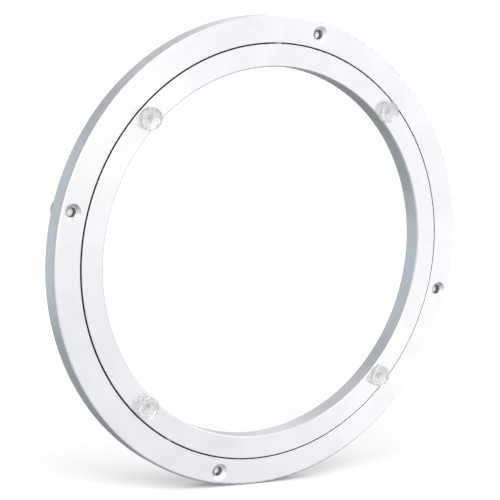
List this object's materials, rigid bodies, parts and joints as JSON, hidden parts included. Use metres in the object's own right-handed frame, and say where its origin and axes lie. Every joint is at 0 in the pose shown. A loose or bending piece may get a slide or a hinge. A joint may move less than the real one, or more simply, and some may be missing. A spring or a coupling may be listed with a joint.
{
  "type": "turntable ring bearing",
  "caption": "Flat aluminium ring bearing for a turntable: a turning ring on a caged ball race inside a fixed ring with countersunk screw holes, clear bumpers and feet.",
  "frame": {"origin": "centre of the rings on the surface that the feet stand on", "axes": "+Z along the turning axis, from the feet to the bumpers; +X from the axis through a screw hole; +Y through the next screw hole"},
  "size_m": [0.3, 0.3, 0.0218],
  "materials": {
    "anodised_aluminium": "satin, clear anodised",
    "clear_vinyl": "clear soft vinyl, smooth",
    "ball_steel": "polished",
    "cage_nylon": "black nylon, matt",
    "screw_steel": "black oxide"
  },
  "bodies": {
    "base": {"outer_ring": "anodised_aluminium", "fill_plug": "anodised_aluminium", "plug_set_screw": "screw_steel", "foot_1": "clear_vinyl", "foot_2": "clear_vinyl", "foot_3": "clear_vinyl", "foot_4": "clear_vinyl"},
    "rotor": {"inner_ring": "anodised_aluminium", "pad_1": "clear_vinyl", "pad_2": "clear_vinyl", "pad_3": "clear_vinyl", "pad_4": "clear_vinyl"},
    "ball_cage": {"cage_strip_1": "cage_nylon", "cage_strip_2": "cage_nylon", "cage_strip_3": "cage_nylon", "cage_strip_4": "cage_nylon", "ball_set_1": "ball_steel", "ball_set_2": "ball_steel", "ball_set_3": "ball_steel", "ball_set_4": "ball_steel"}
  },
  "joints": [
    {"name": "rotor_spin", "type": "hinge", "parent": "base", "child": "rotor", "pos_m": [0, 0, 0.0109], "axis": [0, 0, 1], "continuous": true},
    {"name": "cage_spin", "type": "hinge", "parent": "base", "child": "ball_cage", "pos_m": [0, 0, 0.0109], "axis": [0, 0, 1], "continuous": true}
  ],
  "couplings": [
    {"joint": "cage_spin", "follows": "rotor_spin", "ratio": 0.4906}
  ]
}
